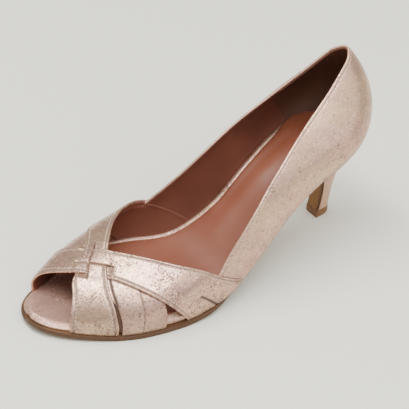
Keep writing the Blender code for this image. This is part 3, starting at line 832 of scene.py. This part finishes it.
def strip_skin(rows, side):
    """Faces and darkening of a side strip: the last, less a drop below the bands, plus a step ahead of the
    pleat.

    Each dark line is painted shade, a bell round an edge, moved and as wide as its two numbers say in
    millimetres. The outer strip also darkens towards the sole, as wear.
    """
    a = np.linspace(FILL_FROM, 1, 121)[:, None]
    front = spline(rows, "front", a)
    rear = spline(rows, "rear", a)
    fold = STRIP_FOLD / (front - rear)
    v = mix(fold, 1 - fold, np.linspace(0, 1, 121)[None, :])
    x = mix(front, rear, v)
    points = vamp(x, side * a)
    n = normals(points, side, ease((1 - a) / 0.08))
    to_pleat = x - spline(rows, "pleat", a)
    pleat = PLEAT_STEP * ease(to_pleat / PLEAT_SHARP + 0.5)
    level = (FILL_DROP + pleat) * ease((1 - a) / 0.2)
    # painted shade: dark lines at the pleat's foot, in the slot, and behind and under the bands' edges
    foot = bell(to_pleat + 0.3, 0.5)
    slot = bell(x - spline(BAND_TO_LATERAL, "rear", -a) + 0.6, 0.6)
    slot = slot * ease((0.62 - a) / 0.12) * (side < 0)
    behind = bell(x - spline(BAND_TO_MEDIAL, "rear", side * a) + 1.2, 0.5)
    under = bell(x - spline(BAND_TO_LATERAL, "front", side * a) - 0.4, 0.5)
    tucked = (behind + 0.6 * under) * (side > 0)
    outer = points + n * (level - SLOT_DEEP * (slot + 0.5 * tucked))[..., None]
    rubbed = 2 * RUBBED * ease((a - 0.35) / 0.3) * (side > 0)
    return outer, points + n * (level - WALL)[..., None], PLEAT_SHADE * foot + slot + tucked + rubbed


dress_skin("side_strip_lateral", *strip_skin(FILL_LATERAL, 1.0), worn_foil)
dress_skin("side_strip_medial", *strip_skin(FILL_MEDIAL, -1.0), worn_foil)

# %% [markdown]
# Inside, the leather is lined. The quarter's lining stops just below the folded topline, and round the heel a
# second piece, the heel grip, lies on it with a step that shows as an upright seam. The grip is darker, and
# the hollow value tells the finish where it lies.

# %% Quarter lining and heel grip
LINING_THICK = 0.35
LINING_BELOW = 0.35
LINING_GAP = 0.02
GRIP_STEP = 0.4
GRIP_TONE = 0.75
GRIP_FOOT = 0.40
GRIP_TOP = 0.43
lining_s = np.linspace(-1, 1, 601)
lining_t = np.linspace(0, 1, 41)
lining_wall, lining_n = quarter_wall(lining_s, lining_t * (1 - TOP_FOLD - LINING_BELOW / 60))
grip = ease((mix(GRIP_FOOT, GRIP_TOP, lining_t[None, :]) - np.abs(lining_s[:, None])) / 0.003 + 0.5)
lining_out = lining_wall - lining_n * (WALL + LINING_GAP)
lining_in = lining_wall - lining_n * (WALL + LINING_THICK + GRIP_STEP * grip)[..., None]
lining_rings = folded(lining_out, lining_in, 0.2, 0.6)
grip_tone = np.zeros(lining_rings.shape[:2])
half = lining_rings.shape[1] // 2
grip_tone[:, half : half + lining_t.size] = GRIP_TONE * grip[:, ::-1]
dress("quarter_lining", loft(lining_rings), lining_leather, None, None, grip_tone)

# %% [markdown]
# The bands and the sides are lined too. A band's lining is thicker where it also covers the quarter's end.
# Each side has a thin sheet below its strip, so that no back of the foil shows in the window, a slot or the
# notch. The outer sheet lies deep in the shade, and its dark grip tone all over is painted shade.

# %% Band and side linings
END_COVER = 1.4
SHEET_FROM = 0.36
SHEET_TO = 0.985
SHEET_IN = 1.62
NOTCH_X = 143.0
NOTCH_LEAN = 4.6


def band_lining(skin, quarter_side, start, full):
    """Lining under a band, thicker where it also covers the end of the quarter on one side of the foot."""
    _, inner, n, _ = skin
    a = quarter_side * BAND_A[::2, None]
    inner, n = inner[::2, 3:-3:2], n[::2, 3:-3:2]
    wide = np.linalg.norm(inner[:, :1] - inner[:, -1:], axis=-1)
    from_rear = np.linspace(1, 0, inner.shape[1])[None, :] * wide
    cover = ease((a - start) / 0.08) * mix(ease(from_rear / 5), 1.0, ease((a - full) / 0.06))
    under = inner - n * LINING_GAP
    return loft(folded(under, under - n * (LINING_THICK + END_COVER * cover)[..., None]))


def strip_lining(rows, side, front_more, rear):
    """Lining of a side: a sheet below its strip, which also closes the slot ahead or the notch behind."""
    a = np.linspace(SHEET_FROM, SHEET_TO, 81)[:, None]
    x = mix(spline(rows, "front", a) + front_more, rear(a), np.linspace(0, 1, 61)[None, :])
    points = vamp(x, side * a)
    n = normals(points, side, ease((1 - a) / 0.08))
    under = points - n * mix(SHEET_IN, WALL - FILL_DROP + LINING_GAP, ease((1 - a) / 0.2))[..., None]
    return loft(folded(under, under - n * LINING_THICK))


def lateral_rear(a):
    """Rear edge of the outer sheet: a little ahead of the strip's, so that it stays out of the window."""
    return spline(FILL_LATERAL, "rear", a) + 1.2


def medial_rear(a):
    """Rear edge of the inner sheet: well under the top band, but never behind the notch, which leans."""
    under_band = spline(BAND_TO_MEDIAL, "rear", -a) + 8.0
    return np.maximum(under_band, NOTCH_X + NOTCH_LEAN * ease((a - 0.85) / 0.15))


dress("inner_band_lining", band_lining(bands["band_to_medial"], -1.0, 0.42, 0.64), lining_leather)
dress("outer_band_lining", band_lining(bands["band_to_lateral"], 1.0, 0.60, 0.76), lining_leather)
outer_side = strip_lining(FILL_LATERAL, 1.0, 6.0, lateral_rear)
# painted shade: the outer sheet carries the hollow value 1 all over, so it takes the dark grip brown
dress("outer_side_lining", outer_side, lining_leather, None, None, np.ones(len(outer_side[0])))
dress("inner_side_lining", strip_lining(FILL_MEDIAL, -1.0, -1.0, medial_rear), lining_leather)

# %% [markdown]
# Stitches are short threads that dive into the leather at both ends. Each is a six-sided spindle bent down at
# its tips. Hundreds of objects would be slow, so a seam's stitches are one mesh, spaced evenly along a line
# of the skin.

# %% Stitches
STITCH_PITCH = 2.3
STITCH_LONG = 1.75
STITCH_THICK = 0.29
SPINDLE = ((-1.0, 0.5), (-0.6, 0.9), (0.0, 1.0), (0.6, 0.9), (1.0, 0.5))
SIDES = 6
BARE_ENDS = slice(12, -12)


def stitch_row(path, up):
    """Spindles along a path: place along the thread, times its direction, plus a circle of its thickness."""
    run = np.concatenate([[0.0], np.cumsum(np.linalg.norm(np.diff(path, axis=0), axis=1))])
    count = int(run[-1] // STITCH_PITCH)
    where = (np.arange(count) + 0.5) * run[-1] / count

    def at(values, shift=0.0):
        """Values read off at each stitch, or at a shift along the path from it."""
        return np.stack([np.interp(where + shift, run, values[:, k]) for k in range(3)], -1)

    along = unit(at(path, 0.4) - at(path, -0.4))
    n = unit(at(up))
    side = np.cross(n, along)
    share, thick = np.array(SPINDLE).T[:, None, :, None, None]
    angle = np.arange(SIDES)[None, None, :, None] * 2 * np.pi / SIDES
    n, side, along = (d[:, None, None, :] for d in (n, side, along))
    lift = n * STITCH_THICK * (0.75 - 1.5 * share**2)
    ring = (n * np.cos(angle) + side * np.sin(angle)) * thick * STITCH_THICK
    return (at(path)[:, None, None, :] + along * share * STITCH_LONG / 2 + lift + ring).reshape(count, -1, 3)


def stitches(rows):
    """Many spindles as one mesh: each is a loft of its own, moved on in the count of points."""
    spindles = np.concatenate(rows)
    quads = loft(spindles[0].reshape(len(SPINDLE), SIDES, 3))[1]
    shift = np.arange(len(spindles))[:, None, None] * spindles.shape[1]
    return spindles.reshape(-1, 3), (quads[None] + shift).reshape(-1, 4)


def skin_line(outer, n, distance):
    """Line on a skin, with its normals: in each row the first point past a distance from the first column."""
    run = np.cumsum(np.linalg.norm(np.diff(outer, axis=1), axis=-1), 1)
    k = np.argmax(run > distance, axis=1) + 1
    row = np.arange(len(outer))
    return outer[row, k], n[row, k]


top_line, top_up = skin_line(quarter_outer[:, ::-1], wall_n[:, ::-1], STITCH_IN - WALL / 2)
seen = np.abs(QUARTER_S) < 0.93
top_row = stitch_row(top_line[seen], top_up[seen])
dress("topline_stitches", stitches([top_row]), thread)
band_rows = []
for outer, _, n, _ in bands.values():
    for way in (1, -1):
        line, up = skin_line(outer[:, ::way], n[:, ::way], EDGE_STITCH / SLANT)
        band_rows.append(stitch_row(line[BARE_ENDS], up[BARE_ENDS]))
dress("band_stitches", stitches(band_rows), thread)

# %% [markdown]
# Insole, sock and sole share the outline of the last, drawn in or let out. The foot bed is padded under the
# ball and cupped at the inner side. Rows of places run across it, so the distance to its edge is measured
# square to the outline: the gap across, times the part of the slope that runs along the foot.

# %% Foot bed
PAD_LIFT = 2.0
PAD_X = 158.0
PAD_REACH = 30.0
CUP_LIFT = 4.0
CUP_X = 155.0
CUP_REACH = 26.0
CUP_EDGE = -6.0
CUP_SLOPE = 26.0


def stations(start, end, count):
    """Places along the foot, close together at both ends: half of one less a cosine."""
    return start + (end - start) * (1 - np.cos(np.linspace(0, np.pi, count))) / 2


def outline(x, inset):
    """Outer and inner outline moved inward square to themselves."""
    lines = []
    for side in (1.0, -1.0):
        line = feather(x, side)[:, :2]
        along = unit(np.gradient(line, axis=0))
        lines.append(line + np.stack([along[:, 1], -along[:, 0]], -1) * side * inset[:, None])
    return lines


def bed_lift(x, y):
    """Padding under the ball, a bell along the foot, plus a bell times a smooth step to the inner side."""
    pad = PAD_LIFT * bell(x - PAD_X, PAD_REACH)
    cup = CUP_LIFT * bell(x - CUP_X, CUP_REACH) * ease((CUP_EDGE - y) / CUP_SLOPE)
    return pad + cup


def bed_grid(lines, across):
    """Places between two outlines, and their distance from the nearer one, square to it."""
    lateral, medial = lines
    f = np.sin(np.linspace(-np.pi / 2, np.pi / 2, across))[None, :, None]
    xy = (lateral + medial)[:, None] / 2 + (lateral - medial)[:, None] / 2 * f
    near = np.where(f > 0, lateral[:, None], medial[:, None])
    slope = np.where(f > 0, np.gradient(lateral, axis=0)[:, None], np.gradient(medial, axis=0)[:, None])
    square = np.abs(slope[..., 0]) / np.maximum(np.linalg.norm(slope, axis=-1), 1e-9)
    return xy, np.abs(near[..., 1] - xy[..., 1]) * square


def with_height(xy, z):
    """Points from flat places and a height for each."""
    return np.concatenate([xy, z[..., None]], -1)


print("foot bed raised by", round(float(bed_lift(PAD_X, 0.0)), 1), "mm under the ball")

# %% [markdown]
# The insole is a board wrapped in the same foil leather. It shows at the open toe, where its edge is well
# rounded, and as a thin bright rim round the sock, where the wrap swells into a soft bead. Its face could be
# left flat, but foil shows every swell, so padding, rounding and bead are added up.

# %% Insole
GAP = 0.3
INSOLE_INSET = 2.0
INSOLE_TOE_INSET = 0.5
INSOLE_TOE_FROM = 211.0
INSOLE_TOE_FADE = 16.0
INSOLE_THICK = 3.0
WRAP_ROOM = 0.4
TOE_EDGE_FROM = 195.0
TOE_EDGE_FADE = 20.0
TOE_EDGE = (1.7, 5.0)
RIM_EDGE = (0.5, 1.5)
BEAD_HIGH = 0.8
BEAD_IN = 1.9
BEAD_WIDE = 1.4
HEEL_BARE = 28.0
HEEL_FADE = 20.0
insole_x = stations(0.3, LENGTH - 0.1, 261)
inset = mix(INSOLE_INSET, INSOLE_TOE_INSET, ease((insole_x - INSOLE_TOE_FROM) / INSOLE_TOE_FADE))
bed, bed_in = bed_grid(outline(insole_x, inset + WRAP_ROOM), 61)
at_toe = ease((bed[..., 0] - TOE_EDGE_FROM) / TOE_EDGE_FADE)
edge_deep = mix(RIM_EDGE[0], TOE_EDGE[0], at_toe)
edge_wide = mix(RIM_EDGE[1], TOE_EDGE[1], at_toe)
rounding = edge_deep * np.clip(1 - bed_in / edge_wide, 0, 1) ** 2
bed_low = feather_z(bed[..., 0])
off_heel = ease((bed[..., 0] - HEEL_BARE) / HEEL_FADE)
bead = BEAD_HIGH * (1 - at_toe) * off_heel * bell(bed_in - BEAD_IN, BEAD_WIDE)
bed_high = bed_low + INSOLE_THICK + bed_lift(bed[..., 0], bed[..., 1]) - rounding + bead
insole_rings = folded(with_height(bed, bed_high), with_height(bed, bed_low), 0.6, 0.6)
dress("insole_wrap", loft(insole_rings), trodden_foil, "insole")

# %% [markdown]
# The sock is the brown leather that the foot stands on. It is glued down, so its face follows the insole, and
# its edge is pared thin. It leaves a wider rim bare along the inner side, and reaches the wall at the heel.
# Long soft ridges near the heel and two wrinkles near the outer rim, where the foot bends it, catch light.

# %% Sock
SOCK_RIM = 1.9
SOCK_THICK = 1.1
SOCK_BACK = 1.2
SOCK_FRONT = 184.0
SOCK_LIFT = 0.05
SOCK_PARE = 1.15
PARE_WIDE = 2.0
HEEL_RIM = 0.2
MEDIAL_RIM = 2.1
WINDOW_FROM = 138.0
WINDOW_FADE = 12.0
WINDOW_RIM = 0.6
WRINKLES = (
    (128.0, 30.0, 138.0, 24.0, 1.6, 0.22),
    (122.0, 27.0, 131.0, 20.0, 1.8, 0.16),
    (38.0, -17.0, 84.0, -11.0, 3.4, 0.40),
    (40.0, -11.0, 94.0, -4.5, 3.4, -0.35),
    (44.0, -3.0, 104.0, 5.0, 5.5, 0.55),
)


def wrinkle_height(xy):
    """Soft ridges and troughs: a bell of the distance from each line, given as two ends, width and height."""
    return sum(high * bell(to_line(xy, *line), wide) for *line, wide, high in WRINKLES)


sock_x = stations(SOCK_BACK, 2 * SOCK_FRONT - SOCK_BACK, 441)[:221]
sock_rim = np.full(len(sock_x), INSOLE_INSET + SOCK_RIM)
window_rim = sock_rim + WINDOW_RIM * ease((sock_x - WINDOW_FROM) / WINDOW_FADE)
heel_rim = (SOCK_RIM - HEEL_RIM) * (1 - ease((sock_x - HEEL_BARE) / HEEL_FADE))
medial_rim = sock_rim + MEDIAL_RIM * ease((sock_x - HEEL_BARE) / HEEL_FADE)
sock_lines = [outline(sock_x, window_rim - heel_rim)[0], outline(sock_x, medial_rim - heel_rim)[1]]
sock_xy, sock_in = bed_grid(sock_lines, 49)
sock_low = feather_z(sock_xy[..., 0]) + INSOLE_THICK + bed_lift(sock_xy[..., 0], sock_xy[..., 1]) + SOCK_LIFT
pared = SOCK_PARE * np.clip(1 - sock_in / PARE_WIDE, 0, 1) ** 2
sock_high = sock_low + SOCK_THICK + GAP - pared + wrinkle_height(sock_xy)
sock_rings = folded(with_height(sock_xy, sock_high), with_height(sock_xy, sock_low), 0.6, 0.6)
dress("sock_leather", loft(sock_rings), sock_leather, "sock_lining")

# %% [markdown]
# The front of a heel is called its breast. Sole leather runs down it as a flap, so flap and heel share one
# line, a cubic from the shank down to the tip. The flap's back is that line moved square to itself.

# %% Heel breast
SHANK_THICK = 2.2
FLAP_START_X = 64.0
FLAP_THICK = 1.3
THIN_FADE = 0.3
FLAP_POINTS = ((40.0, 48.4), (15.2, 46.0), (25.2, 6.0))
HEEL_FRONT_X = 55.0
HEEL_SLIM = 2.6
TIP_HALF = 5.2
TIP_HIGH = 6.0


def flap_line(u):
    """Front face of the heel breast as x and z: a cubic from the shank down to the tip."""
    start = np.array([FLAP_START_X, feather_z(FLAP_START_X) - GAP - SHANK_THICK])
    return cubic(u[:, None], start, *np.array(FLAP_POINTS))


def offset_line(line, distance):
    """A line in x and z moved square to itself, to the right of its travel."""
    along = np.gradient(line, axis=0)
    return line + distance[:, None] * unit(np.stack([along[:, 1], -along[:, 0]], -1))


def flap_thick(u):
    """Thickness of the flap: the shank's, thinned by a smooth step over its first part."""
    return mix(SHANK_THICK, FLAP_THICK, ease(u / THIN_FADE))


def heel_half(k, side):
    """Half width of the heel: the tip's, plus what is left of the seat's extra by a power of one less k."""
    seat = abs(feather(np.array(HEEL_FRONT_X), side)[1])
    return TIP_HALF + (seat - TIP_HALF) * (1 - np.clip(k, 0, 1)) ** HEEL_SLIM


fine_u = np.linspace(0, 1, 401)
FLAP_SPLIT = fine_u[np.argmax(flap_line(fine_u)[:, 0] < HEEL_FRONT_X)]
flap_u = np.concatenate([np.linspace(0, FLAP_SPLIT - 0.004, 12)[1:], np.linspace(FLAP_SPLIT + 0.004, 1, 70)])
flap_front = flap_line(flap_u)
flap_back = offset_line(flap_front, flap_thick(flap_u))
ahead = flap_u < FLAP_SPLIT
flap_back[ahead, 0] = np.maximum(flap_front[ahead, 0], HEEL_FRONT_X + GAP)
flap_back[ahead, 1] = feather_z(flap_back[ahead, 0]) - GAP
flap_back[:, 1] = np.maximum(flap_back[:, 1], TIP_HIGH)
print("breast", round(flap_front[0, 1] - TIP_HIGH, 1), "mm high")

# %% [markdown]
# The outsole is one skin of leather: a tread under the ball, a thin shank under the waist, and the flap,
# which is drawn in where it leaves the shank. Its two faces are carried along that path, with a slightly
# crowned edge. The edge is stained, which the hollow value tells the finish.

# %% Outsole
SOLE_THICK = 2.9
SOLE_GROW = 1.1
SHANK_GROW = -3.0
SHANK_FROM = 140.0
SHANK_FADE = 32.0
FLAP_INSET = 0.5
FLAP_TUCK = 4.5
TUCK_FADE = 0.4
CROWN_ROOM = 0.25
STAIN_TOE = 9.0
STAIN_FADE = 6.0
sole_x = stations(0.3, LENGTH - 0.1, 301)
sole_x = np.append(sole_x[::-1][sole_x[::-1] > FLAP_START_X + 0.6], FLAP_START_X + 0.01)
waist = ease((SHANK_FROM - sole_x) / SHANK_FADE)
grow = mix(SOLE_GROW, SHANK_GROW, waist) - CROWN_ROOM
lateral_line, medial_line = (line[::-1] for line in outline(sole_x[::-1], -grow[::-1]))
lead = ease(flap_u / FLAP_SPLIT)
down_heel = (flap_u - FLAP_SPLIT) / (1 - FLAP_SPLIT)
tuck = FLAP_INSET + FLAP_TUCK * (1 - ease(down_heel / TUCK_FADE))
flap_out = mix(lateral_line[-1, 1], heel_half(down_heel, 1.0) - tuck, lead)
flap_in = mix(medial_line[-1, 1], tuck - heel_half(down_heel, -1.0), lead)
across = np.linspace(1, -1, 25)[None, :]
flap_y = (flap_out + flap_in)[:, None] / 2 + (flap_out - flap_in)[:, None] / 2 * across
tread_middle = (lateral_line + medial_line)[:, None] / 2
tread_xy = tread_middle + (lateral_line - medial_line)[:, None] / 2 * across[..., None]
sole_faces = []
for depth, line in ((0.0, flap_back), (1.0, flap_front)):
    tread_z = feather_z(tread_xy[..., 0]) - GAP - depth * mix(SOLE_THICK, SHANK_THICK, waist)[:, None]
    flap = np.stack([line[:, :1] + 0 * flap_y, flap_y, line[:, 1:] + 0 * flap_y], -1)
    sole_faces.append(np.concatenate([with_height(tread_xy, tread_z), flap]))
sole_rings = folded(*sole_faces, 0.25, 0.25)
stain = np.ones(sole_rings.shape[:2])
toe_end = np.append(ease((sole_x - LENGTH + STAIN_TOE) / STAIN_FADE), 0 * flap_u)[:, None]
rim = np.maximum(ease((np.abs(across) - 0.8) / 0.2), toe_end)
half = sole_rings.shape[1] // 2
stain[:, : across.size] = rim
stain[:, half : half + across.size] = 0.8 * rim
dress("outsole_leather", loft(sole_rings), sole_leather, "outsole", 0.9, stain)

# %% [markdown]
# The heel is a slim block covered in the upper's leather. Its sections lean: they start on the curved seat
# and end on the round tip, so each is blended between the two lines of its front and back.

# %% Heel
HEEL_BACK = ((0.0, 60.7), (2.2, 45.0), (11.4, 29.0), (13.4, 6.0))
HEEL_POWER = 2.4


def two_sided(outer_side, inner_side):
    """Rings from lines of the two sides, which meet at the back."""
    return np.concatenate([outer_side, inner_side[:, ::-1]], 1)


k = np.linspace(0, 1, 121)[:, None]
f = np.sin(np.linspace(0, np.pi / 2, 41))[None, :]
slim = (1 - f**HEEL_POWER) ** (1 / HEEL_POWER)
breast_u = mix(FLAP_SPLIT, 1.0, k[:, 0])
breast = offset_line(flap_line(breast_u), flap_thick(breast_u) + GAP)
breast[:, 1] = np.maximum(breast[:, 1], TIP_HIGH)
breast += (np.array([HEEL_FRONT_X, feather_z(HEEL_FRONT_X) - GAP]) - breast[0]) * (1 - ease(k / 0.15))
heel_back = cubic(k, *np.array(HEEL_BACK))
heel_x = mix(breast[:, :1], heel_back[:, :1], f)
heel_z = mix(breast[:, 1:], heel_back[:, 1:], f)
heel_z = heel_z + (1 - ease(k / 0.4)) * (feather_z(heel_x[0]) - GAP - heel_z[0])
heel_sides = []
for side in (1.0, -1.0):
    seat = np.abs(feather(heel_x[0], side)[:, 1])
    heel_y = side * heel_half(k, side) * mix((seat / seat[0])[None, :], slim, ease(k * 1.6))
    heel_sides.append(np.stack([heel_x, heel_y, heel_z], -1))
dress("heel_cover", loft(two_sided(*heel_sides)), foil, "heel", 0.8)

# %% [markdown]
# The heel walks on a small block of rubber with a straight front and a round back. A profile of heights, each
# with how much it is drawn in there, is carried round that outline, so the edges are slightly rounded.

# %% Walking end of the heel
TIP_FRONT = 25.2
TIP_PROFILE = ((TIP_HIGH - GAP, 0.25), (TIP_HIGH - 0.7, 0.0), (0.9, 0.0), (0.3, 0.2), (0.0, 0.6))
z, shrink = np.array(TIP_PROFILE).T[..., None]
tip_sides = []
for side in (1.0, -1.0):
    x = mix(TIP_FRONT - shrink, TIP_BACK + shrink, f)
    y = side * (TIP_HALF - shrink) * slim
    tip_sides.append(np.stack([x, y, z + 0 * f], -1))
dress("heel_tip", loft(two_sided(*tip_sides)), rubber, "top_piece", 0.5)

# %% [markdown]
# The shoe stands on a pale painted floor. It only has to carry the shadow, so very slow clouds are enough.

# %% Floor
FLOOR_PALE = (0.82, 0.812, 0.715, 1.0)
FLOOR_SHADE = (0.80, 0.792, 0.695, 1.0)
FLOOR_HALF = 3.0


def floor_recipe(coords):
    """Even paint with very slow clouds."""
    clouds = coords.noise(2.0, 2.0, 0.5)
    return {
        "Base Color": clouds.step(0.3, 0.7).blend(FLOOR_PALE, FLOOR_SHADE),
        "Roughness": 0.7 + 0.1 * clouds,
    }


floor_mesh = bpy.data.meshes.new("floor")
corners = np.array([(-1, -1, 0), (1, -1, 0), (1, 1, 0), (-1, 1, 0)]) * FLOOR_HALF
floor_mesh.from_pydata(corners.tolist(), [], [(0, 1, 2, 3)])
floor_mesh.materials.append(finish("pale_floor", floor_recipe, {}))
floor = bpy.data.objects.new("floor", floor_mesh)
bpy.context.scene.collection.objects.link(floor)
print("floor", 2 * FLOOR_HALF, "m wide")

# %% [markdown]
# The light is soft. A large lamp hangs overhead, and a long narrow one just below it draws the bright streaks
# on the foil; level with the large one, it would be hidden in the reflections. A side lamp and a broad fill
# open the shadows, and a warm, even world light does the rest.

# %% Light
LAMP_COLOUR = (0.975, 0.985, 1.0)
WORLD_COLOUR = (1.0, 0.975, 0.90, 1.0)
WORLD_STRENGTH = 0.58


def soft_lamp(name, place, aim, size, long, watts):
    """An oblong lamp at a place, turned to its aim."""
    lamp = bpy.data.objects.new(name, bpy.data.lights.new(name, "AREA"))
    lamp.data.shape = "RECTANGLE"
    lamp.data.size = size
    lamp.data.size_y = long
    lamp.data.energy = watts
    lamp.data.color = LAMP_COLOUR
    lamp.location = place
    lamp.rotation_mode = "QUATERNION"
    lamp.rotation_quaternion = (Vector(aim) - Vector(place)).to_track_quat("-Z", "Y")
    bpy.context.scene.collection.objects.link(lamp)
    print("lamp", name, size, "by", long, "m,", watts, "W")


soft_lamp("overhead", (-0.2, 0.2, 1.9), (-0.2, 0.2, 0), 2.4, 2.4, 9.0)
soft_lamp("key", (0.31, 0.25, 1.8), (0.31, 0.25, 0), 0.42, 3.0, 62.0)
soft_lamp("side", (1.3, -0.5, 1.3), (0, 0, 0.05), 1.0, 1.0, 8.0)
soft_lamp("fill", (-0.35, 1.6, 1.1), (0, 0, 0.05), 2.6, 1.6, 20.0)
world = bpy.data.worlds.new("studio")
world.use_nodes = True
world.node_tree.nodes["Background"].inputs["Color"].default_value = WORLD_COLOUR
world.node_tree.nodes["Background"].inputs["Strength"].default_value = WORLD_STRENGTH
bpy.context.scene.world = world
